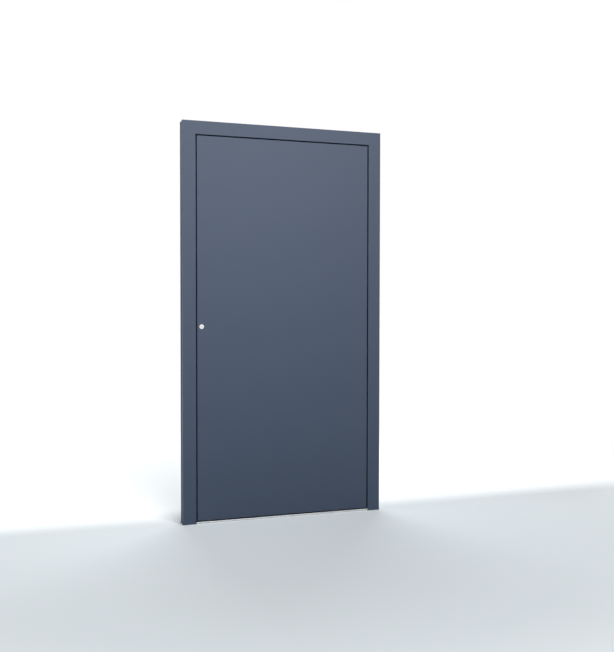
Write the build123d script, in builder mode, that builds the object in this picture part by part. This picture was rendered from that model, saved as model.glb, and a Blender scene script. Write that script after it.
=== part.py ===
"""Flush aluminium front door: a thermally broken frame, a flat sill and one leaf that opens inwards.

X runs to the right seen from outside, Y from outside to inside and Z up. The origin is on the floor,
at the middle of the sill. Frame and leaf are each made of an outer and an inner aluminium extrusion
that polyamide bars hold together. Both are drawn as cross-sections in (u, v): u runs from the wall
towards the doorway, or from the leaf's rebated edge towards its middle, and v from outside to inside.
"""

import os

from build123d import *

os.makedirs("parts", exist_ok=True)

# Overall sizes of the frame
frame_width = 1100.0
frame_height = 2100.0
frame_depth = 75.0
frame_face = 69.0  # face width of jambs and head, seen from outside

# Rebate between frame and leaf
lip_projection = 22.0  # how far the frame's outside lip stands into the doorway
lip_depth = 16.0
inner_step_width = 14.0  # how far the frame is cut back for the leaf's inside lip
inner_step_depth = 15.0
shadow_gap = 7.0
rebate_gap = 12.0
running_clearance = 5.0  # between a gasket and the leaf
sill_gap = 7.0  # between the sill and the lower edge of the leaf

# Extrusions and sheets
wall = 2.0
corner_radius = 0.6
mitre_gap = 0.2  # glue joint between two mitred ends
outer_shell_depth = 28.0
inner_shell_depth = 25.0
stile_width = 75.0
bottom_rail_height = 90.0
leaf_flange_thickness = 5.5
leaf_inner_depth = 20.0
outer_sheet_thickness = 3.0
inner_sheet_thickness = 3.0
sheet_edge_radius = 0.8

# Polyamide bars, with dovetail feet rolled into the shells
bar_thickness = 3.0
bar_foot_width = 5.0
bar_foot_depth = 2.5
bar_inset = 4.0  # from the edge of a shell to the middle of its bar
bar_end_gap = 0.5  # from a mitre to the end of a bar

# Rubber gaskets, each held by a T-shaped foot in a groove
gasket_inset = 6.0  # from the edge of the outside lip to the middle of its gasket
gasket_neck_width = 3.0
gasket_neck_depth = 1.6
gasket_foot_width = 5.6
gasket_foot_depth = 2.0
gasket_width = 8.0
gasket_height = 3.5

# Sill: a plastic base with an aluminium nose outside and an aluminium cover inside
sill_height = 10.0
sill_cover_thickness = 2.0
sill_nose_thickness = 3.0
sill_edge_radius = 1.5
sill_outer_cover_depth = 8.0
sill_inner_cover_depth = 35.0
tread_groove_width = 1.6
tread_groove_depth = 0.8
tread_groove_pitch = 5.0
tread_groove_count = 5

# Lock cylinder and lock
cylinder_height = 1034.0
cylinder_backset = 40.0
cylinder_radius = 11.0
collar_radius = 12.0
collar_height = 2.0
collar_edge_radius = 0.7
plug_radius = 7.0
plug_length = 25.0
key_slot_width = 2.6
key_slot_height = 9.0
key_slot_depth = 12.0
fit_clearance = 0.2
plate_thickness = 2.5
plate_corner_radius = 3.0
screw_hole_radius = 2.2
screw_head_radius = 4.2
screw_head_angle = 90.0
faceplate_width = 28.0
faceplate_length = 1780.0
strike_width = 34.0
strike_margin = 36.0  # from the outermost bolt to the end of its strike plate
lever_pitch = 92.0  # from the cylinder up to the lever and the latch
hook_spacing = 700.0  # from the cylinder up and down to the hook bolts
bolt_thickness = 12.0
bolt_depth = 26.0
bolt_edge_radius = 1.0
bolt_pocket_clearance = 2.0
latch_height = 24.0
latch_bevel = 8.0
dead_bolt_height = 34.0
hook_bolt_height = 40.0

# Inside lever
rosette_radius = 26.0
rosette_height = 8.0
rosette_edge_radius = 1.5
lever_radius = 9.5
lever_reach = 56.0
lever_length = 130.0
lever_bend_radius = 18.0
lever_end_radius = 3.0

# Barrel hinges
hinge_offset = 250.0  # from the top and the foot of the frame
barrel_radius = 10.0
barrel_standoff = 12.0  # from the inside face to the middle of the pin
hinge_height = 90.0
knuckle_height = 30.0
knuckle_gap = 0.3
hinge_flange_width = 20.0
hinge_flange_thickness = 4.0
hinge_flange_inset = 4.0  # from the wall side of the jamb
hinge_edge_radius = 1.0
pin_radius = 5.0
pin_clearance = 0.3
pin_head_height = 4.0

# Holes for frame screws, and the seal under the leaf
fixing_radius = 4.0
fixing_end = 225.0
fixing_count = 4
bottom_seal_depth = 9.0
bottom_seal_slot_width = 4.0
bottom_seal_slot_depth = 5.0

# Places that follow from the sizes
outside_y = -frame_depth / 2
inside_y = frame_depth / 2
half_width = frame_width / 2
rebate_base = frame_face - lip_projection
inner_face = rebate_base - inner_step_width
inner_step_v = frame_depth - inner_step_depth
frame_inner_start = frame_depth - inner_shell_depth
leaf_edge = rebate_base + rebate_gap
sheet_setback = frame_face + shadow_gap - leaf_edge
leaf_lip = leaf_edge - inner_face - shadow_gap
flange_v = lip_depth + gasket_height + running_clearance
leaf_outer_end = flange_v + leaf_flange_thickness
inner_sheet_v = frame_depth - inner_sheet_thickness
leaf_inner_start = inner_sheet_v - leaf_inner_depth
leaf_lip_v = inner_step_v + gasket_height + running_clearance
leaf_half_width = half_width - leaf_edge
leaf_top = frame_height - leaf_edge
leaf_foot = sill_height + sill_gap
bar_groove_wall = wall + bar_foot_depth
gasket_groove_wall = gasket_neck_depth + gasket_foot_depth + wall
bolt_v = (leaf_outer_end + leaf_inner_start) / 2
cylinder_x = cylinder_backset - leaf_half_width
lever_height = cylinder_height + lever_pitch
hinge_x = half_width - inner_face - shadow_gap / 2
hinge_y = inside_y + barrel_standoff
hinge_flange_offset = half_width - hinge_flange_inset - hinge_flange_width / 2 - hinge_x
sill_base_height = sill_height - sill_cover_thickness

# Each member's section plane, with local X along u, local Y along v and the normal along the member
lock_jamb_plane = Plane(origin=(-half_width, outside_y, 0), x_dir=(1, 0, 0), z_dir=(0, 0, 1))
hinge_jamb_plane = Plane(origin=(half_width, outside_y, frame_height), x_dir=(-1, 0, 0), z_dir=(0, 0, -1))
head_plane = Plane(origin=(-half_width, outside_y, frame_height), x_dir=(0, 0, -1), z_dir=(1, 0, 0))
lock_stile_plane = Plane(origin=(-leaf_half_width, outside_y, leaf_foot), x_dir=(1, 0, 0), z_dir=(0, 0, 1))
hinge_stile_plane = Plane(
    origin=(leaf_half_width, outside_y, leaf_top + leaf_lip), x_dir=(-1, 0, 0), z_dir=(0, 0, -1)
)
top_rail_plane = Plane(origin=(-half_width, outside_y, leaf_top), x_dir=(0, 0, -1), z_dir=(1, 0, 0))
bottom_rail_plane = Plane(
    origin=(leaf_half_width - stile_width, outside_y, leaf_foot), x_dir=(0, 0, 1), z_dir=(-1, 0, 0)
)
left_mitre = Plane(origin=(-half_width, 0, frame_height), z_dir=(1, 0, 1))
right_mitre = Plane(origin=(half_width, 0, frame_height), z_dir=(-1, 0, 1))
stile_length = leaf_top + leaf_lip - leaf_foot
bottom_rail_length = 2 * (leaf_half_width - stile_width)

# Planes that look at the leaf's lock edge and at the lock from outside and from inside
lock_edge_plane = Plane(origin=(-leaf_half_width, outside_y, 0), x_dir=(0, 1, 0), z_dir=(1, 0, 0))
strike_plane = Plane(origin=(rebate_base - half_width, outside_y, 0), x_dir=(0, 1, 0), z_dir=(1, 0, 0))
faceplate_face = Plane(
    origin=(-leaf_half_width - plate_thickness, outside_y + bolt_v, 0), x_dir=(0, -1, 0), z_dir=(-1, 0, 0)
)
strike_face = Plane(
    origin=(rebate_base - half_width + plate_thickness, outside_y + bolt_v, 0),
    x_dir=(0, 1, 0),
    z_dir=(1, 0, 0),
)
cylinder_plane = Plane(origin=(cylinder_x, outside_y, cylinder_height), x_dir=(1, 0, 0), z_dir=(0, -1, 0))
inside_cylinder_plane = Plane(
    origin=(cylinder_x, inside_y, cylinder_height), x_dir=(-1, 0, 0), z_dir=(0, 1, 0)
)
lever_plane = Plane(origin=(cylinder_x, inside_y, lever_height), x_dir=(-1, 0, 0), z_dir=(0, 1, 0))

# Bolts of the lock, by name: the height of each bolt, and how high its middle lies above the floor
bolts = {
    "latch": (latch_height, [lever_height]),
    "dead_bolt": (dead_bolt_height, [cylinder_height]),
    "hook_bolts": (hook_bolt_height, [cylinder_height - hook_spacing, cylinder_height + hook_spacing]),
}


def save(piece, name):
    """Names a finished piece and writes it."""
    piece.part.label = name
    export_step(piece.part, f"parts/{name}.step")
    print(f"{name}: {piece.part.volume / 1000:.1f} cm3")


def bar_foot(u, v, into):
    """Corners of a bar's dovetail foot, from the face of a shell at v into its metal."""
    return [
        (u - bar_thickness / 2, v),
        (u + bar_thickness / 2, v),
        (u + bar_foot_width / 2, v + into * bar_foot_depth),
        (u - bar_foot_width / 2, v + into * bar_foot_depth),
    ]


def shell_section(outline, chambers, bar_places, bar_face_v, into):
    """Draws an extrusion with rounded corners, its chambers and the grooves for its two bars."""
    with BuildLine() as edge:
        FilletPolyline(*outline, radius=corner_radius, close=True)
    make_face(edge.edges())
    for (u_low, v_low), (u_high, v_high) in chambers:
        with Locations(((u_low + u_high) / 2, (v_low + v_high) / 2)):
            Rectangle(u_high - u_low, v_high - v_low, mode=Mode.SUBTRACT)
    for u in bar_places:
        Polygon(*bar_foot(u, bar_face_v, into), align=None, mode=Mode.SUBTRACT)


def gasket_groove(u, v):
    """Cuts the T-shaped groove for a gasket whose lip stands towards the inside."""
    with Locations((u, v - gasket_neck_depth / 2)):
        Rectangle(gasket_neck_width, gasket_neck_depth, mode=Mode.SUBTRACT)
    with Locations((u, v - gasket_neck_depth - gasket_foot_depth / 2)):
        Rectangle(gasket_foot_width, gasket_foot_depth, mode=Mode.SUBTRACT)


def bars(bar_places, v_start, v_end):
    """Draws the polyamide bars between two shells, with a foot at each end."""
    for u in bar_places:
        Polygon(*bar_foot(u, v_start, -1), align=None)
        Polygon(*bar_foot(u, v_end, 1), align=None)
        with Locations((u, (v_start + v_end) / 2)):
            Rectangle(bar_thickness, v_end - v_start)


def cut_to_mitres(mitres, gap):
    """Cuts the ends of a member, each that far from its mitre."""
    for mitre, keep in mitres:
        split(bisect_by=mitre.offset(gap if keep == Keep.TOP else -gap), keep=keep)


def bolt_openings(clearance, mode=Mode.ADD):
    """Draws an opening for every bolt, seen from the edge of the leaf."""
    for bolt_height, places in bolts.values():
        with Locations([(bolt_v, bolt_z) for bolt_z in places]):
            Rectangle(bolt_thickness + 2 * clearance, bolt_height + 2 * clearance, mode=mode)


# Frame: lock jamb, head and hinge jamb, each an outer shell, an inner shell and two bars
frame_bar_places = [bar_inset, rebate_base - bar_inset]
outer_gasket_u = frame_face - gasket_inset
inner_gasket_u = inner_face + inner_step_width / 2
frame_outer_outline = [
    (0, 0),
    (frame_face, 0),
    (frame_face, lip_depth),
    (rebate_base, lip_depth),
    (rebate_base, outer_shell_depth),
    (0, outer_shell_depth),
]
frame_outer_chambers = [
    ((wall, wall), (rebate_base - wall, outer_shell_depth - bar_groove_wall)),
    ((rebate_base, wall), (frame_face - wall, lip_depth - gasket_groove_wall)),
]
frame_inner_outline = [
    (0, frame_inner_start),
    (rebate_base, frame_inner_start),
    (rebate_base, inner_step_v),
    (inner_face, inner_step_v),
    (inner_face, frame_depth),
    (0, frame_depth),
]
frame_inner_chambers = [
    ((wall, frame_inner_start + bar_groove_wall), (inner_face - wall, frame_depth - wall)),
]
frame_members = {
    "lock_jamb": (lock_jamb_plane, frame_height, [(left_mitre, Keep.BOTTOM)]),
    "head": (head_plane, frame_width, [(left_mitre, Keep.TOP), (right_mitre, Keep.TOP)]),
    "hinge_jamb": (hinge_jamb_plane, frame_height, [(right_mitre, Keep.BOTTOM)]),
}
fixing_v = inner_step_v + inner_step_depth / 2
fixing_pitch = (frame_height - 2 * fixing_end) / (fixing_count - 1)
jamb_sides = {"lock_jamb": -1, "hinge_jamb": 1}
frame_bar_pieces = []

for member, (plane, length, mitres) in frame_members.items():
    with BuildPart() as outer_shell:
        with BuildSketch(plane):
            shell_section(frame_outer_outline, frame_outer_chambers, frame_bar_places, outer_shell_depth, -1)
            gasket_groove(outer_gasket_u, lip_depth)
        extrude(amount=length)
        cut_to_mitres(mitres, mitre_gap / 2)
    save(outer_shell, f"{member}_outer_shell")

    with BuildPart() as inner_shell:
        with BuildSketch(plane):
            shell_section(frame_inner_outline, frame_inner_chambers, frame_bar_places, frame_inner_start, 1)
            gasket_groove(inner_gasket_u, inner_step_v)
        extrude(amount=length)
        cut_to_mitres(mitres, mitre_gap / 2)
        if member in jamb_sides:
            side_plane = Plane(
                origin=(jamb_sides[member] * half_width, outside_y + fixing_v, frame_height / 2),
                x_dir=(0, 0, 1),
                z_dir=(jamb_sides[member], 0, 0),
            )
            with BuildSketch(side_plane):
                with GridLocations(fixing_pitch, 0, fixing_count, 1):
                    Circle(fixing_radius)
            extrude(amount=-inner_face, mode=Mode.SUBTRACT)
    save(inner_shell, f"{member}_inner_shell")

    with BuildPart() as member_bars:
        with BuildSketch(plane):
            bars(frame_bar_places, outer_shell_depth, frame_inner_start)
        extrude(amount=length)
        cut_to_mitres(mitres, bar_end_gap)
        if member == "lock_jamb":
            with BuildSketch(strike_plane):
                bolt_openings(bolt_pocket_clearance)
            extrude(amount=-(bar_inset + bar_foot_width), mode=Mode.SUBTRACT)
    frame_bar_pieces.append(member_bars.part)

with BuildPart() as frame_bars:
    for piece in frame_bar_pieces:
        add(piece)
save(frame_bars, "frame_bars")

# Gaskets: one length of rubber each, up the lock jamb, along the head and down the hinge jamb
for name, u, v in (
    ("outer_gasket", outer_gasket_u, lip_depth),
    ("inner_gasket", inner_gasket_u, inner_step_v),
):
    with BuildPart() as gasket:
        with BuildLine():
            Polyline(
                (-half_width, outside_y, sill_height),
                (-half_width, outside_y, frame_height),
                (half_width, outside_y, frame_height),
                (half_width, outside_y, sill_height),
            )
        with BuildSketch(lock_jamb_plane.offset(sill_height)):
            with BuildLine():
                lip = ThreePointArc(
                    (u - gasket_width / 2, v), (u, v + gasket_height), (u + gasket_width / 2, v)
                )
                neck_v = v - gasket_neck_depth
                foot_v = neck_v - gasket_foot_depth
                Polyline(
                    lip @ 1,
                    (u + gasket_neck_width / 2, v),
                    (u + gasket_neck_width / 2, neck_v),
                    (u + gasket_foot_width / 2, neck_v),
                    (u + gasket_foot_width / 2, foot_v),
                    (u - gasket_foot_width / 2, foot_v),
                    (u - gasket_foot_width / 2, neck_v),
                    (u - gasket_neck_width / 2, neck_v),
                    (u - gasket_neck_width / 2, v),
                    lip @ 0,
                )
            make_face()
        sweep(transition=Transition.RIGHT)
    save(gasket, name)

# Sill: base and covers follow the stepped sides of the jambs, and stop short of their rounded corners
sill_steps = [
    (half_width - frame_face - corner_radius, 0, lip_depth),
    (half_width - rebate_base - corner_radius, lip_depth, inner_step_v),
    (half_width - inner_face - corner_radius, inner_step_v, frame_depth),
]


def sill_plan(v_low, v_high):
    """Draws the floor between the jambs, from v_low to v_high."""
    for reach, v_start, v_end in sill_steps:
        with Locations((0, outside_y + (v_start + v_end) / 2)):
            Rectangle(2 * reach, v_end - v_start)
    with Locations((0, outside_y + (v_low + v_high) / 2)):
        Rectangle(frame_width, v_high - v_low, mode=Mode.INTERSECT)


def tread_grooves(v_low, v_high):
    """Draws grooves along the sill, in the middle of the strip from v_low to v_high."""
    with Locations((0, outside_y + (v_low + v_high) / 2)):
        with GridLocations(0, tread_groove_pitch, 1, tread_groove_count):
            Rectangle(frame_width, tread_groove_width)


sill_inner_cover_v = frame_depth - sill_inner_cover_depth
with BuildPart() as sill_base:
    with BuildSketch():
        sill_plan(sill_nose_thickness, frame_depth - sill_nose_thickness)
    extrude(amount=sill_base_height)
    with BuildSketch(Plane.XY.offset(sill_base_height)):
        sill_plan(sill_outer_cover_depth, sill_inner_cover_v)
    extrude(amount=sill_cover_thickness)
    with BuildSketch(Plane.XY.offset(sill_height)):
        tread_grooves(sill_outer_cover_depth, sill_inner_cover_v)
    extrude(amount=-tread_groove_depth, mode=Mode.SUBTRACT)
save(sill_base, "sill_base")

with BuildPart() as sill_outer_cover:
    with BuildSketch(Plane.XY.offset(sill_base_height)):
        sill_plan(0, sill_outer_cover_depth)
    extrude(amount=sill_cover_thickness)
    with BuildSketch():
        sill_plan(0, sill_nose_thickness)
    extrude(amount=sill_base_height)
    tread_edges = sill_outer_cover.edges().filter_by(Axis.X).group_by(Axis.Z)[-1]
    fillet(tread_edges.sort_by(Axis.Y)[0], radius=sill_edge_radius)
save(sill_outer_cover, "sill_outer_cover")

with BuildPart() as sill_inner_cover:
    with BuildSketch(Plane.XY.offset(sill_base_height)):
        sill_plan(sill_inner_cover_v, frame_depth)
    extrude(amount=sill_cover_thickness)
    with BuildSketch():
        sill_plan(frame_depth - sill_nose_thickness, frame_depth)
    extrude(amount=sill_base_height)
    tread_edges = sill_inner_cover.edges().filter_by(Axis.X).group_by(Axis.Z)[-1]
    fillet(tread_edges.sort_by(Axis.Y)[-1], radius=sill_edge_radius)
    with BuildSketch(Plane.XY.offset(sill_height)):
        tread_grooves(sill_inner_cover_v, frame_depth)
    extrude(amount=-tread_groove_depth, mode=Mode.SUBTRACT)
save(sill_inner_cover, "sill_inner_cover")

# Leaf: stiles and top rail share one section, and the bottom rail stands between the stiles
leaf_bar_places = [bar_inset, stile_width - bar_inset]
leaf_outer_outline = [
    (sheet_setback, outer_sheet_thickness),
    (stile_width, outer_sheet_thickness),
    (stile_width, leaf_outer_end),
    (0, leaf_outer_end),
    (0, flange_v),
    (sheet_setback, flange_v),
]
leaf_outer_chambers = [
    (
        (sheet_setback + wall, outer_sheet_thickness + wall),
        (stile_width - wall, leaf_outer_end - bar_groove_wall),
    ),
]
leaf_inner_outline = [
    (0, leaf_inner_start),
    (stile_width, leaf_inner_start),
    (stile_width, inner_sheet_v),
    (-leaf_lip, inner_sheet_v),
    (-leaf_lip, leaf_lip_v),
    (0, leaf_lip_v),
]
leaf_inner_chambers = [
    ((wall, leaf_inner_start + bar_groove_wall), (stile_width - wall, inner_sheet_v - wall)),
]
leaf_members = {
    "lock_stile": (lock_stile_plane, stile_length, [(left_mitre, Keep.BOTTOM)]),
    "top_rail": (top_rail_plane, frame_width, [(left_mitre, Keep.TOP), (right_mitre, Keep.TOP)]),
    "hinge_stile": (hinge_stile_plane, stile_length, [(right_mitre, Keep.BOTTOM)]),
}
leaf_bar_pieces = []

for member, (plane, length, mitres) in leaf_members.items():
    with BuildPart() as outer_shell:
        with BuildSketch(plane):
            shell_section(leaf_outer_outline, leaf_outer_chambers, leaf_bar_places, leaf_outer_end, -1)
        extrude(amount=length)
        cut_to_mitres(mitres, mitre_gap / 2)
        if member == "lock_stile":
            with Locations(cylinder_plane):
                Hole(cylinder_radius + fit_clearance)
    save(outer_shell, f"{member}_outer_shell")

    with BuildPart() as inner_shell:
        with BuildSketch(plane):
            shell_section(leaf_inner_outline, leaf_inner_chambers, leaf_bar_places, leaf_inner_start, 1)
        extrude(amount=length)
        cut_to_mitres(mitres, mitre_gap / 2)
        if member == "lock_stile":
            with Locations(cylinder_plane):
                Hole(cylinder_radius + fit_clearance)
    save(inner_shell, f"{member}_inner_shell")

    with BuildPart() as member_bars:
        with BuildSketch(plane):
            bars(leaf_bar_places, leaf_outer_end, leaf_inner_start)
        extrude(amount=length)
        cut_to_mitres(mitres, bar_end_gap)
        if member == "lock_stile":
            with BuildSketch(lock_edge_plane):
                bolt_openings(bolt_pocket_clearance)
            extrude(amount=bar_inset + bar_foot_width, mode=Mode.SUBTRACT)
    leaf_bar_pieces.append(member_bars.part)

bottom_bar_places = [bottom_seal_depth + bar_inset, bottom_rail_height - bar_inset]
bottom_rail_shells = (
    ("bottom_rail_outer_shell", outer_sheet_thickness, leaf_outer_end, leaf_outer_end, -1),
    ("bottom_rail_inner_shell", leaf_inner_start, inner_sheet_v, leaf_inner_start, 1),
)
for name, v_low, v_high, bar_face_v, into in bottom_rail_shells:
    outline = [(0, v_low), (bottom_rail_height, v_low), (bottom_rail_height, v_high), (0, v_high)]
    chamber_low = v_low + (wall if into < 0 else bar_groove_wall)
    chamber_high = v_high - (bar_groove_wall if into < 0 else wall)
    with BuildPart() as bottom_shell:
        with BuildSketch(bottom_rail_plane):
            shell_section(
                outline,
                [((wall, chamber_low), (bottom_rail_height - wall, chamber_high))],
                bottom_bar_places,
                bar_face_v,
                into,
            )
        extrude(amount=bottom_rail_length)
    save(bottom_shell, name)

with BuildPart() as leaf_bars:
    with BuildSketch(bottom_rail_plane):
        bars(bottom_bar_places, leaf_outer_end, leaf_inner_start)
    extrude(amount=bottom_rail_length)
    for piece in leaf_bar_pieces:
        add(piece)
save(leaf_bars, "leaf_bars")

# Seal that is drawn up between the shells of the bottom rail, with two lips
with BuildPart() as bottom_seal:
    with BuildSketch(bottom_rail_plane):
        with Locations((bottom_seal_depth / 2, bolt_v)):
            Rectangle(bottom_seal_depth, leaf_inner_start - leaf_outer_end)
        with Locations((bottom_seal_slot_depth / 2, bolt_v)):
            Rectangle(bottom_seal_slot_depth, bottom_seal_slot_width, mode=Mode.SUBTRACT)
    extrude(amount=bottom_rail_length)
save(bottom_seal, "bottom_seal")

# Sheets that face the leaf outside and inside
outside_plane = Plane(origin=(0, outside_y, 0), x_dir=(1, 0, 0), z_dir=(0, -1, 0))
inside_plane = Plane(origin=(0, inside_y, 0), x_dir=(-1, 0, 0), z_dir=(0, 1, 0))
sheets = (
    ("outer_sheet", outside_plane, -sheet_setback, outer_sheet_thickness),
    ("inner_sheet", inside_plane, leaf_lip, inner_sheet_thickness),
)
for name, plane, past_edge, thickness in sheets:
    with BuildPart() as sheet:
        with BuildSketch(plane):
            with Locations((0, (leaf_foot + leaf_top + past_edge) / 2)):
                Rectangle(2 * (leaf_half_width + past_edge), leaf_top + past_edge - leaf_foot)
        extrude(amount=-thickness)
        shown_face = sheet.faces().sort_by(SortBy.AREA)[-2:].sort_by(Axis(plane.origin, plane.z_dir))[-1]
        fillet(shown_face.edges(), radius=sheet_edge_radius)
        with Locations(cylinder_plane):
            Hole(cylinder_radius + fit_clearance)
    save(sheet, name)

# Lock: faceplate on the leaf's edge, bolts drawn back into it, strike plates on the jamb
screw_margin = strike_margin / 2
main_screws = [
    cylinder_height - dead_bolt_height / 2 - screw_margin,
    lever_height + latch_height / 2 + screw_margin,
]
hook_screws = [
    hook_z + way * (hook_bolt_height / 2 + screw_margin)
    for hook_z in bolts["hook_bolts"][1]
    for way in (-1, 1)
]


def screw_holes(face_plane, places):
    """Cuts countersunk screw holes into the face that lies on a plane."""
    with Locations(face_plane):
        with Locations(places):
            CounterSinkHole(screw_hole_radius, screw_head_radius, counter_sink_angle=screw_head_angle)


with BuildPart() as faceplate:
    with BuildSketch(lock_edge_plane):
        with Locations((bolt_v, cylinder_height)):
            RectangleRounded(faceplate_width, faceplate_length, plate_corner_radius)
        bolt_openings(fit_clearance, Mode.SUBTRACT)
    extrude(amount=-plate_thickness)
    screw_holes(faceplate_face, [(0, screw_z) for screw_z in main_screws + hook_screws])
save(faceplate, "lock_faceplate")

for name, (bolt_height, places) in bolts.items():
    with BuildPart() as bolt:
        with BuildSketch(lock_edge_plane.offset(-plate_thickness)):
            with Locations([(bolt_v, bolt_z) for bolt_z in places]):
                Rectangle(bolt_thickness, bolt_height)
        extrude(amount=bolt_depth)
        if name == "latch":
            nose = bolt.faces().sort_by(Axis.X)[0]
            chamfer(nose.edges().filter_by(Axis.Z).sort_by(Axis.Y)[0], length=latch_bevel)
        else:
            fillet(bolt.edges().filter_by(Axis.X), radius=bolt_edge_radius)
    save(bolt, name)

main_strike_low = cylinder_height - dead_bolt_height / 2 - strike_margin
main_strike_high = lever_height + latch_height / 2 + strike_margin
strikes = (
    (
        "main_strike_plate",
        main_strike_high - main_strike_low,
        [(main_strike_low + main_strike_high) / 2],
        main_screws,
    ),
    ("hook_strike_plates", hook_bolt_height + 2 * strike_margin, bolts["hook_bolts"][1], hook_screws),
)
for name, strike_length, places, screw_places in strikes:
    with BuildPart() as strike_plate:
        with BuildSketch(strike_plane):
            with Locations([(bolt_v, strike_z) for strike_z in places]):
                RectangleRounded(strike_width, strike_length, plate_corner_radius)
            bolt_openings(bolt_pocket_clearance, Mode.SUBTRACT)
        extrude(amount=plate_thickness)
        screw_holes(strike_face, [(0, screw_z) for screw_z in screw_places])
    save(strike_plate, name)

# Round lock cylinder through the leaf, with a collar on the outer sheet and a key slot at each end
with BuildPart() as lock_cylinder:
    with BuildSketch(cylinder_plane):
        Circle(cylinder_radius)
    extrude(amount=-(frame_depth + rosette_height))
    with BuildSketch(cylinder_plane):
        Circle(collar_radius)
    extrude(amount=collar_height)
    fillet(lock_cylinder.faces().sort_by(Axis.Y)[0].edges(), radius=collar_edge_radius)
    with BuildSketch(cylinder_plane.offset(collar_height)):
        Circle(plug_radius + fit_clearance)
    extrude(amount=-plug_length, mode=Mode.SUBTRACT)
    with BuildSketch(inside_cylinder_plane.offset(rosette_height)):
        Rectangle(key_slot_width, key_slot_height)
    extrude(amount=-key_slot_depth, mode=Mode.SUBTRACT)
save(lock_cylinder, "lock_cylinder")

with BuildPart() as cylinder_plug:
    with BuildSketch(cylinder_plane.offset(collar_height)):
        Circle(plug_radius)
    extrude(amount=-plug_length)
    with BuildSketch(cylinder_plane.offset(collar_height)):
        Rectangle(key_slot_width, key_slot_height)
    extrude(amount=-key_slot_depth, mode=Mode.SUBTRACT)
save(cylinder_plug, "cylinder_plug")

# Inside rosettes, and the lever in the upper one
rosettes = (
    ("cylinder_rosette", inside_cylinder_plane, cylinder_radius),
    ("lever_rosette", lever_plane, lever_radius),
)
for name, plane, held_radius in rosettes:
    with BuildPart() as rosette:
        with BuildSketch(plane):
            Circle(rosette_radius)
            Circle(held_radius + fit_clearance, mode=Mode.SUBTRACT)
        extrude(amount=rosette_height)
        fillet(rosette.faces().sort_by(Axis.Y)[-1].outer_wire().edges(), radius=rosette_edge_radius)
    save(rosette, name)

with BuildPart() as lever:
    with BuildLine():
        FilletPolyline(
            (cylinder_x, inside_y, lever_height),
            (cylinder_x, inside_y + lever_reach, lever_height),
            (cylinder_x + lever_length, inside_y + lever_reach, lever_height),
            radius=lever_bend_radius,
        )
    with BuildSketch(lever_plane):
        Circle(lever_radius)
    sweep()
    fillet(lever.faces().sort_by(Axis.X)[-1].edges(), radius=lever_end_radius)
save(lever, "lever_handle")

# Three barrel hinges: the frame's half holds the pin, and the leaf's two knuckles turn on it
hinge_heights = {
    "bottom": hinge_offset,
    "middle": frame_height / 2,
    "top": frame_height - hinge_offset,
}
flange_y = inside_y + hinge_flange_thickness / 2
leaf_knuckle_height = hinge_height / 2 - knuckle_height / 2 - knuckle_gap
frame_screw_rise = (hinge_height + knuckle_height) / 4
leaf_screw_rise = knuckle_height / 4
for name, hinge_z in hinge_heights.items():
    hinge_face = Plane(
        origin=(hinge_x, inside_y + hinge_flange_thickness, hinge_z), x_dir=(-1, 0, 0), z_dir=(0, 1, 0)
    )
    with BuildPart() as frame_half:
        with BuildSketch(Plane.XY.offset(hinge_z - knuckle_height / 2)):
            with Locations((hinge_x, hinge_y)):
                Circle(barrel_radius)
            with Locations((hinge_x + hinge_flange_offset, flange_y)):
                RectangleRounded(hinge_flange_width, hinge_flange_thickness, hinge_edge_radius)
            make_hull()
        extrude(amount=knuckle_height)
        with BuildSketch(Plane.XY.offset(hinge_z - hinge_height / 2)):
            with Locations((hinge_x + hinge_flange_offset, flange_y)):
                RectangleRounded(hinge_flange_width, hinge_flange_thickness, hinge_edge_radius)
        extrude(amount=hinge_height)
        with Locations((hinge_x, hinge_y, hinge_z)):
            Hole(pin_radius + pin_clearance / 2)
        screw_holes(hinge_face, [(-hinge_flange_offset, way * frame_screw_rise) for way in (-1, 1)])
    save(frame_half, f"{name}_hinge_frame_half")

    with BuildPart() as leaf_half:
        for knuckle_z in (hinge_z - hinge_height / 2, hinge_z + hinge_height / 2 - leaf_knuckle_height):
            with BuildSketch(Plane.XY.offset(knuckle_z)):
                with Locations((hinge_x, hinge_y)):
                    Circle(barrel_radius)
                with Locations((hinge_x - hinge_flange_offset, flange_y)):
                    RectangleRounded(hinge_flange_width, hinge_flange_thickness, hinge_edge_radius)
                make_hull()
            extrude(amount=leaf_knuckle_height)
        with BuildSketch(Plane.XY.offset(hinge_z - hinge_height / 2)):
            with Locations((hinge_x - hinge_flange_offset, flange_y)):
                RectangleRounded(hinge_flange_width, hinge_flange_thickness, hinge_edge_radius)
        extrude(amount=hinge_height)
        with Locations((hinge_x, hinge_y, hinge_z)):
            Hole(pin_radius + pin_clearance)
        screw_holes(hinge_face, [(hinge_flange_offset, way * leaf_screw_rise) for way in (-1, 1)])
    save(leaf_half, f"{name}_hinge_leaf_half")

# Hinge pins, with a cap at each end
pin_end = hinge_height / 2 + knuckle_gap
with BuildPart() as hinge_pins:
    for hinge_z in hinge_heights.values():
        with BuildSketch(Plane.XY.offset(hinge_z - pin_end)):
            with Locations((hinge_x, hinge_y)):
                Circle(pin_radius)
        extrude(amount=2 * pin_end)
        for cap_z, way in ((hinge_z - pin_end, -1), (hinge_z + pin_end, 1)):
            with BuildSketch(Plane.XY.offset(cap_z)):
                with Locations((hinge_x, hinge_y)):
                    Circle(barrel_radius)
            extrude(amount=way * pin_head_height)
    cap_rims = hinge_pins.edges().filter_by(GeomType.CIRCLE).filter_by(
        lambda edge: edge.radius == barrel_radius
    )
    fillet(cap_rims, radius=hinge_edge_radius)
save(hinge_pins, "hinge_pins")
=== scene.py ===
# %% [markdown]
# # A flush aluminium front door
#
# The frame, the leaf, the lock and the hinges come ready made from the CAD model, each as its own
# node. This lesson gives them what the eye sees: the finish of every surface, the small screws, the
# floor, the light and the camera. Lengths are in metres. X runs to the right, Y from outside to
# inside, Z up.

# %% Load the door
import math

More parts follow.
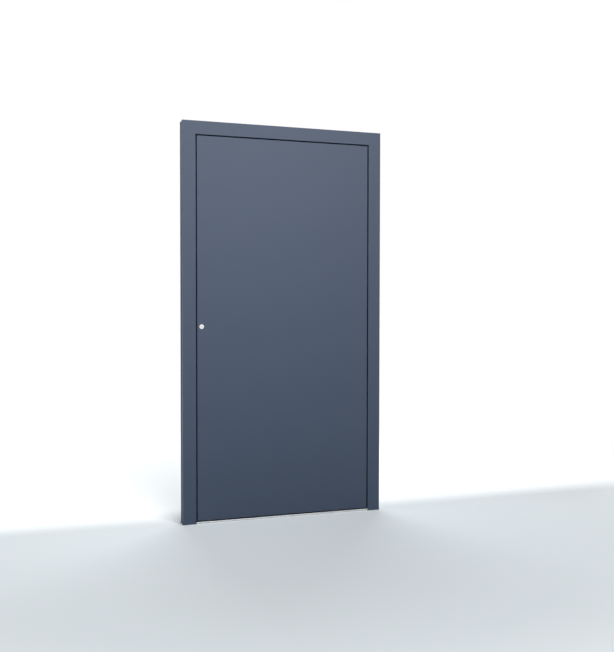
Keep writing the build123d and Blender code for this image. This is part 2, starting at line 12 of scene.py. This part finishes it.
import bmesh
import bpy
from mathutils import Matrix, Vector


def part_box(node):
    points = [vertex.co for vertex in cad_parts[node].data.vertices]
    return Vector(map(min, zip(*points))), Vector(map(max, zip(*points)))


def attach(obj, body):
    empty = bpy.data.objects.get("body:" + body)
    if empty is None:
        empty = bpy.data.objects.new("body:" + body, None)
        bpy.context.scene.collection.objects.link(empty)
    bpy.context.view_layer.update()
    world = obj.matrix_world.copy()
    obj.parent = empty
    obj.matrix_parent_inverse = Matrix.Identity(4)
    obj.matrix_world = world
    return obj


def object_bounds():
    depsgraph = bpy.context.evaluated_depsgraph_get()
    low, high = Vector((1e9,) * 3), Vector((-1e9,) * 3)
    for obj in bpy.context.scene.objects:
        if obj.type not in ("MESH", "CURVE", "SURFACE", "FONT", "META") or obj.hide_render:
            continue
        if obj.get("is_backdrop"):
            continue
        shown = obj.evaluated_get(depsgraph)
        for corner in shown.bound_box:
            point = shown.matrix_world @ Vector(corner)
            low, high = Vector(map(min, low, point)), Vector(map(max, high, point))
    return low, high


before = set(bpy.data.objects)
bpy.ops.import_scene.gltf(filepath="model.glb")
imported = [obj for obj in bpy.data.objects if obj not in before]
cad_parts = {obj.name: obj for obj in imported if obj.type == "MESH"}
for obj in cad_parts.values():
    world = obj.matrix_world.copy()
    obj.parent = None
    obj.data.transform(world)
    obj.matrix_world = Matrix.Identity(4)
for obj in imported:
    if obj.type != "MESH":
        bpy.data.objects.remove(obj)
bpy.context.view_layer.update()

# %% [markdown]
# ## Three small tools
#
# Colours are written as sRGB hex values, as a paint card or a picture editor shows them, but
# a renderer adds up light in linear numbers. One function turns the first into the second.
# Another adds one node to a material, with its settings and its inputs, so that a material reads
# like a list of what goes into it. The third starts an empty material. Blender's Mix node has
# sockets for several kinds of data under the same names, so those for colours go by number.

# %% Colours and nodes
MM = 0.001
MIX_FACTOR = 0
MIX_FIRST = 6
MIX_SECOND = 7
MIX_RESULT = 2


def linear(hex_colour):
    """Turns an sRGB hex colour into linear red, green, blue and alpha, by the sRGB standard's curve."""
    channels = [int(hex_colour[start : start + 2], 16) / 255 for start in (1, 3, 5)]
    curve = [c / 12.92 if c <= 0.04045 else ((c + 0.055) / 1.055) ** 2.4 for c in channels]
    return (*curve, 1.0)


def add_node(tree, kind, inputs=None, **settings):
    """Adds a node, makes its settings, and fills its inputs with values or other nodes' outputs."""
    node = tree.nodes.new(kind)
    for name, value in settings.items():
        setattr(node, name, value)
    for name, value in (inputs or {}).items():
        if isinstance(value, bpy.types.NodeSocket):
            tree.links.new(value, node.inputs[name])
        else:
            node.inputs[name].default_value = value
    return node


def new_material(name):
    """Makes an empty node material and gives it and its node tree."""
    material = bpy.data.materials.new(name)
    material.use_nodes = True
    material.node_tree.nodes.clear()
    return material, material.node_tree


print("sRGB #808080 in linear numbers:", [round(c, 3) for c in linear("#808080")])

# %% [markdown]
# ## Powder coat
#
# The aluminium is sprayed with polyester powder that melts to one even skin in the oven. The finish
# is a fine-textured anthracite with some blue in it: a grain like very fine sandpaper, about half
# a millimetre across, breaks up reflections, so the door looks satin and shows no mirror image.
# A single colour with a single roughness would look like plastic. So a cloudy noise makes the colour
# and the gloss drift a little over the surface, and a fine one gives the grain as bump. The grain is
# drawn at about 1 mm, because a true one would be too fine to show.

# %% Make the powder coat
COAT_DEEP = "#425066"
COAT_LIGHT = "#46546A"
COAT_SATIN = 0.55
COAT_DULL = 0.62
COAT_CLOUD_SIZE = 180 * MM
COAT_GRAIN_SIZE = 1.0 * MM
COAT_GRAIN_HEIGHT = 0.28 * MM


def powder_coat():
    """Fine-textured polyester powder coat, with a little drift in colour and gloss."""
    material, tree = new_material("fine_texture_powder_coat")
    place = add_node(tree, "ShaderNodeTexCoord").outputs["Object"]
    cloud = add_node(
        tree,
        "ShaderNodeTexNoise",
        {"Vector": place, "Scale": 1 / COAT_CLOUD_SIZE, "Detail": 3.0, "Roughness": 0.55},
    ).outputs["Fac"]
    grain = add_node(
        tree,
        "ShaderNodeTexNoise",
        {"Vector": place, "Scale": 1 / COAT_GRAIN_SIZE, "Detail": 2.0, "Roughness": 0.6},
    ).outputs["Fac"]
    colour = add_node(
        tree,
        "ShaderNodeMix",
        {MIX_FACTOR: cloud, MIX_FIRST: linear(COAT_DEEP), MIX_SECOND: linear(COAT_LIGHT)},
        data_type="RGBA",
    ).outputs[MIX_RESULT]
    gloss = add_node(
        tree,
        "ShaderNodeMapRange",
        {"Value": cloud, "To Min": COAT_SATIN, "To Max": COAT_DULL},
    ).outputs["Result"]
    bump = add_node(
        tree,
        "ShaderNodeBump",
        {"Height": grain, "Strength": 1.0, "Distance": COAT_GRAIN_HEIGHT},
    ).outputs["Normal"]
    skin = add_node(
        tree,
        "ShaderNodeBsdfPrincipled",
        {"Base Color": colour, "Roughness": gloss, "IOR": 1.5, "Normal": bump},
    ).outputs["BSDF"]
    add_node(tree, "ShaderNodeOutputMaterial", {"Surface": skin})
    return material


coat = powder_coat()
print("made", coat.name)

# %% [markdown]
# ## Brushed metals
#
# The lever, the rosettes, the hinges and the lock's plates are stainless steel that was brushed with
# an abrasive belt, and the screws are the same steel. The sill's covers are aluminium, brushed along
# their length and anodised. A brush leaves fine scratches in one direction, and they stretch each
# highlight across them. A shader's own anisotropy could do that, but it draws no scratches. So one
# function makes all these metals from a noise that is stretched along the brush's way and varies
# roughness, colour and bump. Real scratches are about 0.1 mm wide, and here they are drawn at half
# a millimetre so that they show.

# %% Make the brushed metals
SCRATCH_WIDTH = 0.5 * MM
SCRATCH_LENGTH = 60 * MM
SCRATCH_HEIGHT = 0.02 * MM
SCRATCH_GLOSS_DRIFT = 0.08
AXES = "XYZ"


def brushed_metal(name, shade, highlight, along, roughness):
    """A metal brushed along one axis, from its two colours and its middle roughness."""
    material, tree = new_material(name)
    place = add_node(tree, "ShaderNodeTexCoord").outputs["Object"]
    stretch = [1 / (SCRATCH_LENGTH if axis == along else SCRATCH_WIDTH) for axis in AXES]
    stretched = add_node(
        tree, "ShaderNodeMapping", {"Vector": place, "Scale": stretch}
    ).outputs["Vector"]
    scratches = add_node(
        tree,
        "ShaderNodeTexNoise",
        {"Vector": stretched, "Scale": 1.0, "Detail": 4.0, "Roughness": 0.65},
    ).outputs["Fac"]
    colour = add_node(
        tree,
        "ShaderNodeMix",
        {MIX_FACTOR: scratches, MIX_FIRST: linear(shade), MIX_SECOND: linear(highlight)},
        data_type="RGBA",
    ).outputs[MIX_RESULT]
    smooth = roughness - SCRATCH_GLOSS_DRIFT
    rough = roughness + SCRATCH_GLOSS_DRIFT
    gloss = add_node(
        tree,
        "ShaderNodeMapRange",
        {"Value": scratches, "To Min": smooth, "To Max": rough},
    ).outputs["Result"]
    bump = add_node(
        tree,
        "ShaderNodeBump",
        {"Height": scratches, "Strength": 0.25, "Distance": SCRATCH_HEIGHT},
    ).outputs["Normal"]
    metal = add_node(
        tree,
        "ShaderNodeBsdfPrincipled",
        {"Base Color": colour, "Metallic": 1.0, "Roughness": gloss, "Normal": bump},
    ).outputs["BSDF"]
    add_node(tree, "ShaderNodeOutputMaterial", {"Surface": metal})
    return material


lever_steel = brushed_metal("stainless_steel_brushed_lengthwise", "#8F8F8D", "#C9C8C4", "X", 0.3)
plate_steel = brushed_metal("stainless_steel_brushed_upright", "#8A8A88", "#C2C1BE", "Z", 0.34)
screw_steel = brushed_metal("stainless_steel_turned", "#7E7E7C", "#B4B3B0", "Y", 0.3)
sill_aluminium = brushed_metal("anodised_aluminium_brushed", "#C6C8CA", "#DFE1E2", "X", 0.42)
print("made", lever_steel.name, plate_steel.name, screw_steel.name, sill_aluminium.name)

# %% [markdown]
# ## Nickel plate
#
# A lock cylinder is brass that is turned on a lathe, nickel plated and left satin. Nickel is bright
# and a touch warmer than chrome. A plain bright metal would do from afar, but the tool leaves very
# fine rings that show from near. So a ring-shaped wave about the cylinder's own axis lightly varies
# colour and gloss.

# %% Make the nickel plate
NICKEL_DEEP = "#DEDCD7"
NICKEL_LIGHT = "#F5F3EF"
NICKEL_BRIGHT = 0.2
NICKEL_SATIN = 0.3
TURNED_RING_WIDTH = 0.6 * MM
WAVE_RING = 2 * math.pi / 20  # a ring's width in the wave texture at a scale of 1


def nickel_plate(axis_place):
    """Satin nickel plate on a turned piece whose axis runs along Y through axis_place."""
    material, tree = new_material("nickel_plated_brass")
    place = add_node(tree, "ShaderNodeTexCoord").outputs["Object"]
    from_axis = add_node(
        tree, "ShaderNodeVectorMath", {0: place, 1: axis_place}, operation="SUBTRACT"
    ).outputs["Vector"]
    ring_scale = WAVE_RING / TURNED_RING_WIDTH
    rings = add_node(
        tree,
        "ShaderNodeTexWave",
        {"Vector": from_axis, "Scale": ring_scale, "Distortion": 0.4, "Detail": 1.0},
        wave_type="RINGS",
        rings_direction="Y",
    ).outputs["Fac"]
    colour = add_node(
        tree,
        "ShaderNodeMix",
        {MIX_FACTOR: rings, MIX_FIRST: linear(NICKEL_DEEP), MIX_SECOND: linear(NICKEL_LIGHT)},
        data_type="RGBA",
    ).outputs[MIX_RESULT]
    gloss = add_node(
        tree,
        "ShaderNodeMapRange",
        {"Value": rings, "To Min": NICKEL_BRIGHT, "To Max": NICKEL_SATIN},
    ).outputs["Result"]
    plate = add_node(
        tree,
        "ShaderNodeBsdfPrincipled",
        {"Base Color": colour, "Metallic": 1.0, "Roughness": gloss},
    ).outputs["BSDF"]
    add_node(tree, "ShaderNodeOutputMaterial", {"Surface": plate})
    return material


cylinder_low, cylinder_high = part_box("lock_cylinder")
cylinder_middle = (cylinder_low + cylinder_high) / 2
nickel = nickel_plate(cylinder_middle)
print("made", nickel.name, "about the axis at", cylinder_middle)

# %% [markdown]
# ## Rubber and polyamide
#
# The gaskets are EPDM, an extruded black rubber with a dull skin. The bars between the two metal
# shells, and the base of the sill, are polyamide with glass fibre: a hard black plastic whose fibres
# show as a faint light fleck. Plain black would hide their shape. Both are the same recipe with other
# numbers, so one function makes the two. The flecks are drawn at 0.8 mm, coarser than the real fibres,
# so that they show.

# %% Make the rubber and the polyamide
FLECK_SIZE = 0.8 * MM
FLECK_HEIGHT = 0.03 * MM
FLECK_GLOSS_DRIFT = 0.06


def dull_polymer(name, dark, fleck, roughness, ior):
    """A dull black polymer whose fine flecks vary its colour, gloss and surface a little."""
    material, tree = new_material(name)
    place = add_node(tree, "ShaderNodeTexCoord").outputs["Object"]
    flecks = add_node(
        tree, "ShaderNodeTexNoise", {"Vector": place, "Scale": 1 / FLECK_SIZE, "Detail": 2.0}
    ).outputs["Fac"]
    colour = add_node(
        tree,
        "ShaderNodeMix",
        {MIX_FACTOR: flecks, MIX_FIRST: linear(dark), MIX_SECOND: linear(fleck)},
        data_type="RGBA",
    ).outputs[MIX_RESULT]
    smooth = roughness - FLECK_GLOSS_DRIFT
    rough = roughness + FLECK_GLOSS_DRIFT
    gloss = add_node(
        tree,
        "ShaderNodeMapRange",
        {"Value": flecks, "To Min": smooth, "To Max": rough},
    ).outputs["Result"]
    bump = add_node(
        tree,
        "ShaderNodeBump",
        {"Height": flecks, "Strength": 0.3, "Distance": FLECK_HEIGHT},
    ).outputs["Normal"]
    polymer = add_node(
        tree,
        "ShaderNodeBsdfPrincipled",
        {"Base Color": colour, "Roughness": gloss, "IOR": ior, "Normal": bump},
    ).outputs["BSDF"]
    add_node(tree, "ShaderNodeOutputMaterial", {"Surface": polymer})
    return material


rubber = dull_polymer("epdm_rubber", "#0E0E0F", "#1A1A1B", 0.62, 1.48)
polyamide = dull_polymer("glass_filled_polyamide", "#141415", "#2C2C2D", 0.55, 1.53)
print("made", rubber.name, polyamide.name)

# %% [markdown]
# ## Dress the CAD nodes
#
# Every node keeps its shape and gets the finish of the real piece. That could be one line for each
# node, but the names say what a piece is, so the endings of the names are enough to sort them.

# %% Give every node its finish
FINISHES = {
    "_shell": coat,
    "_sheet": coat,
    "_bars": polyamide,
    "sill_base": polyamide,
    "_gasket": rubber,
    "_seal": rubber,
    "_cover": sill_aluminium,
    "lever_handle": lever_steel,
    "lever_rosette": plate_steel,
    "cylinder_rosette": plate_steel,
    "_half": plate_steel,
    "_pins": plate_steel,
    "_plate": plate_steel,
    "_plates": plate_steel,
    "_faceplate": plate_steel,
    "latch": plate_steel,
    "_bolt": plate_steel,
    "_bolts": plate_steel,
    "lock_cylinder": nickel,
    "cylinder_plug": nickel,
}

for name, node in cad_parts.items():
    finish = next(material for ending, material in FINISHES.items() if name.endswith(ending))
    node.data.materials.clear()
    node.data.materials.append(finish)
print("dressed", len(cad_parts), "nodes in", len(set(FINISHES.values())), "finishes")

# %% [markdown]
# ## Screws
#
# Countersunk screws with a six-lobe socket hold the hinges, the lock's faceplate and the strike
# plates. Their holes are in the CAD plates, and each head fills its hole flush. A head could be
# a cone with a socket cut out by a boolean, but that leaves long thin faces. Here it is a set of rings
# about one axis: the cone that sits in the plate, the rim, the flat top, the wavy edge of the socket,
# its wall and its floor. Each ring has the same number of points, so neighbouring rings join in quads.
# All the heads on one body are one mesh.

# %% A screw head
SCREW_RADIUS = 4.0 * MM
SCREW_SHANK_RADIUS = 2.1 * MM
SCREW_SINK = 0.15 * MM
SCREW_BEVEL = 0.25 * MM
SCREW_POINTS = 48
SOCKET_RADIUS = 1.9 * MM
SOCKET_DEPTH = 1.4 * MM
SOCKET_TAPER = 0.92
SOCKET_LOBES = 6
LOBE_REACH = 0.14


def add_screw(mesh, place, outward):
    """Adds a countersunk head to a bmesh: place is the middle of its hole, in the plate's face."""
    turn = Vector(outward).to_track_quat("Z", "Y").to_matrix().to_4x4()
    seat = Matrix.Translation(place) @ turn
    cone_depth = SCREW_RADIUS - SCREW_SHANK_RADIUS
    top = -SCREW_SINK
    profile = [
        (SCREW_SHANK_RADIUS, top - SCREW_BEVEL - cone_depth, 0.0),
        (SCREW_RADIUS, top - SCREW_BEVEL, 0.0),
        (SCREW_RADIUS - SCREW_BEVEL, top, 0.0),
        (SOCKET_RADIUS, top, LOBE_REACH),
        (SOCKET_RADIUS * SOCKET_TAPER, top - SOCKET_DEPTH, LOBE_REACH),
    ]
    rings = []
    for radius, height, lobe in profile:
        ring = []
        for step in range(SCREW_POINTS):
            angle = 2 * math.pi * step / SCREW_POINTS
            reach = radius * (1 + lobe * math.cos(SOCKET_LOBES * angle))
            point = Vector((reach * math.cos(angle), reach * math.sin(angle), height))
            ring.append(mesh.verts.new(seat @ point))
        rings.append(ring)
    for lower, upper in zip(rings, rings[1:]):
        for step in range(SCREW_POINTS):
            after = (step + 1) % SCREW_POINTS
            mesh.faces.new((lower[step], lower[after], upper[after], upper[step]))
    mesh.faces.new(rings[-1])
    mesh.faces.new(reversed(rings[0]))


print("a screw head is", 2 * SCREW_RADIUS / MM, "mm across")

# %% Where the hinges' screws sit
INWARD = (0, 1, 0)
HINGE_FLANGE_THICKNESS = 4 * MM
FLANGE_MIDDLE = 10 * MM
FRAME_SCREW_RISE = 30 * MM
LEAF_SCREW_RISE = 7.5 * MM
frame_screw_places = []
leaf_screw_places = []

for height_name in ("bottom", "middle", "top"):
    low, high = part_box(f"{height_name}_hinge_frame_half")
    face_y = low.y + HINGE_FLANGE_THICKNESS
    middle_z = (low.z + high.z) / 2
    for way in (-1, 1):
        place = (high.x - FLANGE_MIDDLE, face_y, middle_z + way * FRAME_SCREW_RISE)
        frame_screw_places.append((place, INWARD))
    low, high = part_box(f"{height_name}_hinge_leaf_half")
    for way in (-1, 1):
        place = (low.x + FLANGE_MIDDLE, face_y, middle_z + way * LEAF_SCREW_RISE)
        leaf_screw_places.append((place, INWARD))
print("hinge screws:", len(frame_screw_places), "in the frame,", len(leaf_screw_places), "in the leaf")

# %% Where the screws of the lock's plates sit
TO_JAMB = (-1, 0, 0)
TO_LEAF = (1, 0, 0)
PLATE_END = 18 * MM
HOOK_STRIKE_LENGTH = 112 * MM

strike_low, strike_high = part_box("main_strike_plate")
hook_low, hook_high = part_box("hook_strike_plates")
faceplate_low, faceplate_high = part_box("lock_faceplate")
plate_ends = [
    (strike_low.z, strike_high.z),
    (hook_low.z, hook_low.z + HOOK_STRIKE_LENGTH),
    (hook_high.z - HOOK_STRIKE_LENGTH, hook_high.z),
]
screw_heights = [z for foot, top in plate_ends for z in (foot + PLATE_END, top - PLATE_END)]
strike_y = (strike_low.y + strike_high.y) / 2
for z in screw_heights:
    frame_screw_places.append(((strike_high.x, strike_y, z), TO_LEAF))
    leaf_screw_places.append(((faceplate_low.x, strike_y, z), TO_JAMB))
print("faceplate from", faceplate_low.z, "to", faceplate_high.z)
print("screws of the lock's plates at heights", [round(z, 3) for z in screw_heights])


# %% Make the screw meshes
def screws(name, body, places):
    """Makes one mesh of screw heads that rides on a body, from places and outward directions."""
    mesh = bmesh.new()
    for place, outward in places:
        add_screw(mesh, place, outward)
    data = bpy.data.meshes.new(name)
    mesh.to_mesh(data)
    mesh.free()
    data.materials.append(screw_steel)
    piece = bpy.data.objects.new(name, data)
    bpy.context.scene.collection.objects.link(piece)
    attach(piece, body)
    print(name, "has", len(places), "heads")


screws("frame_screws", "frame", frame_screw_places)
screws("leaf_screws", "leaf", leaf_screw_places)

# %% [markdown]
# ## Floor
#
# The door stands on a plain pale floor. A backdrop that curves up would hide the door from one side, so
# the floor is a flat disc, and the door can be looked at from all round. In front it is matt grey and
# takes the door's shadow. Behind the door a faint glow is added to the grey: it lifts the floor to near
# white and leaves the shadows in. Far off the floor is plain white, so that it runs into the white
# world with no line. All this goes by the place on the floor, and not by where the camera stands.


# %% Tell rays that show the background from rays that light the door
def seen_rays(tree):
    """One for rays that show the background itself: to the camera, in a gloss or through glass."""
    rays = add_node(tree, "ShaderNodeLightPath").outputs
    direct_or_gloss = add_node(
        tree,
        "ShaderNodeMath",
        {0: rays["Is Camera Ray"], 1: rays["Is Glossy Ray"]},
        operation="MAXIMUM",
    ).outputs["Value"]
    return add_node(
        tree,
        "ShaderNodeMath",
        {0: direct_or_gloss, 1: rays["Is Transmission Ray"]},
        operation="MAXIMUM",
    ).outputs["Value"]


print("rays to the camera, in gloss and through glass show the background")

# %% The floor's finish
WHITE = linear("#FFFFFF")
FLOOR_COLOUR = "#F2F9FD"
FLOOR_BOUNCE = "#7A8082"  # the colour of the light that the floor throws onto the door
BEHIND_START = -0.02
BEHIND_END = 0.35
BEHIND_LIFT = 0.46
FAR_START = 1.7
FAR_END = 3.2


def floor_finish():
    """Matt pale grey, lifted by a glow behind the door and plain white far from it."""
    material, tree = new_material("matt_pale_floor")
    place = add_node(tree, "ShaderNodeNewGeometry").outputs["Position"]
    depth = add_node(tree, "ShaderNodeSeparateXYZ", {"Vector": place}).outputs["Y"]
    distance = add_node(
        tree, "ShaderNodeVectorMath", {0: place}, operation="LENGTH"
    ).outputs["Value"]
    behind = add_node(
        tree,
        "ShaderNodeMapRange",
        {"Value": depth, "From Min": BEHIND_START, "From Max": BEHIND_END},
        interpolation_type="SMOOTHSTEP",
    ).outputs["Result"]
    far = add_node(
        tree,
        "ShaderNodeMapRange",
        {"Value": distance, "From Min": FAR_START, "From Max": FAR_END},
        interpolation_type="SMOOTHSTEP",
    ).outputs["Result"]
    seen = seen_rays(tree)
    behind_seen = add_node(
        tree, "ShaderNodeMath", {0: behind, 1: seen}, operation="MULTIPLY"
    ).outputs["Value"]
    lift = add_node(
        tree, "ShaderNodeMath", {0: behind_seen, 1: BEHIND_LIFT}, operation="MULTIPLY"
    ).outputs["Value"]
    far_seen = add_node(
        tree, "ShaderNodeMath", {0: far, 1: seen}, operation="MULTIPLY"
    ).outputs["Value"]
    colour = add_node(
        tree,
        "ShaderNodeMix",
        {MIX_FACTOR: seen, MIX_FIRST: linear(FLOOR_BOUNCE), MIX_SECOND: linear(FLOOR_COLOUR)},
        data_type="RGBA",
    ).outputs[MIX_RESULT]
    matt = add_node(
        tree, "ShaderNodeBsdfDiffuse", {"Color": colour, "Roughness": 0.4}
    ).outputs["BSDF"]
    glow = add_node(
        tree, "ShaderNodeEmission", {"Color": WHITE, "Strength": lift}
    ).outputs["Emission"]
    lifted = add_node(tree, "ShaderNodeAddShader", {0: matt, 1: glow}).outputs["Shader"]
    white = add_node(
        tree, "ShaderNodeEmission", {"Color": WHITE, "Strength": 1.0}
    ).outputs["Emission"]
    mixed = add_node(
        tree, "ShaderNodeMixShader", {0: far_seen, 1: lifted, 2: white}
    ).outputs["Shader"]
    add_node(tree, "ShaderNodeOutputMaterial", {"Surface": mixed})
    return material


floor_matt = floor_finish()
print("made", floor_matt.name)

# %% Make the floor
FLOOR_RADIUS = 14.0
FLOOR_SEGMENTS = 96

floor_mesh = bmesh.new()
bmesh.ops.create_circle(
    floor_mesh, cap_ends=True, radius=FLOOR_RADIUS, segments=FLOOR_SEGMENTS
)
floor_data = bpy.data.meshes.new("floor")
floor_mesh.to_mesh(floor_data)
floor_mesh.free()
floor_data.materials.append(floor_matt)
floor = bpy.data.objects.new("floor", floor_data)
bpy.context.scene.collection.objects.link(floor)
floor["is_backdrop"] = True
print("floor radius:", FLOOR_RADIUS)

# %% [markdown]
# ## Light
#
# Plain studio light. One bare lamp would give hard shadows, and a picture of a sky would be a file to
# read, so area lamps stand in for soft boxes. A wide one hangs high in front of the door, so the door's
# upper half is brighter than its foot, as under an open sky. A second one lights the inside. Two look
# straight down at the floor in front, and two narrow ones light the outer sides of the jambs. The world
# adds a soft even light from all round, and shows as plain white to the eye and in the metal.

# %% Make the lamps
LAMPS = {
    # place, aim, width, height, power in watts, spread in degrees
    "front_soft_box": ((0.55, -4.2, 4.0), (-1.0, 0, 1.2), 3.4, 2.2, 52, 80),
    "inside_soft_box": ((0.9, 3.6, 3.6), (0, 0, 1.1), 4.0, 2.6, 170, 180),
    "right_floor_soft_box": ((2.6, -1.4, 3.0), (2.6, -1.4, 0), 2.4, 2.4, 9, 70),
    "front_floor_soft_box": ((0.6, -3.2, 3.0), (0.6, -3.2, 0), 6.0, 2.4, 24, 50),
    "lock_jamb_soft_box": ((-3.6, 0, 1.4), (-0.55, 0, 1.3), 0.4, 2.0, 1.6, 20),
    "hinge_jamb_soft_box": ((3.6, 0, 1.4), (0.55, 0, 1.3), 0.4, 2.0, 2.4, 20),
}


def soft_box(name, place, aim, width, height, power, spread):
    """An area lamp of that size at place, turned to aim. Its grid keeps the light within spread."""
    lamp = bpy.data.lights.new(name, "AREA")
    lamp.shape = "RECTANGLE"
    lamp.size = width
    lamp.size_y = height
    lamp.energy = power
    lamp.spread = math.radians(spread)
    holder = bpy.data.objects.new(name, lamp)
    bpy.context.scene.collection.objects.link(holder)
    holder.location = place
    holder.rotation_euler = (Vector(aim) - Vector(place)).to_track_quat("-Z", "Y").to_euler()
    holder.visible_camera = False


for name, lamp_values in LAMPS.items():
    soft_box(name, *lamp_values)
print("lamps:", ", ".join(LAMPS))

# %% Make the world
AMBIENT = 0.13

world = bpy.data.worlds.new("studio_white")
bpy.context.scene.world = world
world.use_nodes = True
sky = world.node_tree
sky.nodes.clear()
strength = add_node(
    sky, "ShaderNodeMapRange", {"Value": seen_rays(sky), "To Min": AMBIENT, "To Max": 1.0}
).outputs["Result"]
background = add_node(
    sky, "ShaderNodeBackground", {"Color": WHITE, "Strength": strength}
).outputs["Background"]
add_node(sky, "ShaderNodeOutputWorld", {"Surface": background})
print("world:", world.name, "with an even light of", AMBIENT)

# %% [markdown]
# ## Camera
#
# The camera stands outside, to the left of the door and a little above half its height, and looks
# slightly down. It could be set by eye, but its place and lens were worked out from where the corners
# of the frame, of the leaf and the lock cylinder lie in the picture, which puts every edge in its
# place. The picture is taller than wide, so its height is what the sensor's size spans.

# %% Make the camera
CAMERA_PLACE = (-1.1976, -4.2123, 1.1491)
CAMERA_TURN = -0.3067
CAMERA_TILT = -0.0263
CAMERA_ROLL = -0.0012
LEVEL = math.pi / 2  # a camera looks straight down until it is raised by a quarter turn
FOCAL_PIXELS = 807.81
PICTURE_HEIGHT = 652
SENSOR = 36.0

camera_data = bpy.data.cameras.new("camera")
camera_data.sensor_width = SENSOR
camera_data.lens = FOCAL_PIXELS / PICTURE_HEIGHT * SENSOR
camera = bpy.data.objects.new("camera", camera_data)
bpy.context.scene.collection.objects.link(camera)
camera.location = CAMERA_PLACE
camera.rotation_euler = (LEVEL + CAMERA_TILT, CAMERA_ROLL, CAMERA_TURN)
bpy.context.scene.camera = camera
bpy.context.scene.view_settings.view_transform = "Standard"
print("lens:", round(camera_data.lens, 2), "mm")

# %% [markdown]
# ## Size
#
# Finishes and screws leave a door as large as it was. The last line measures the box round the finished
# door, without the floor.

# %% Measure the finished door
low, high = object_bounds()
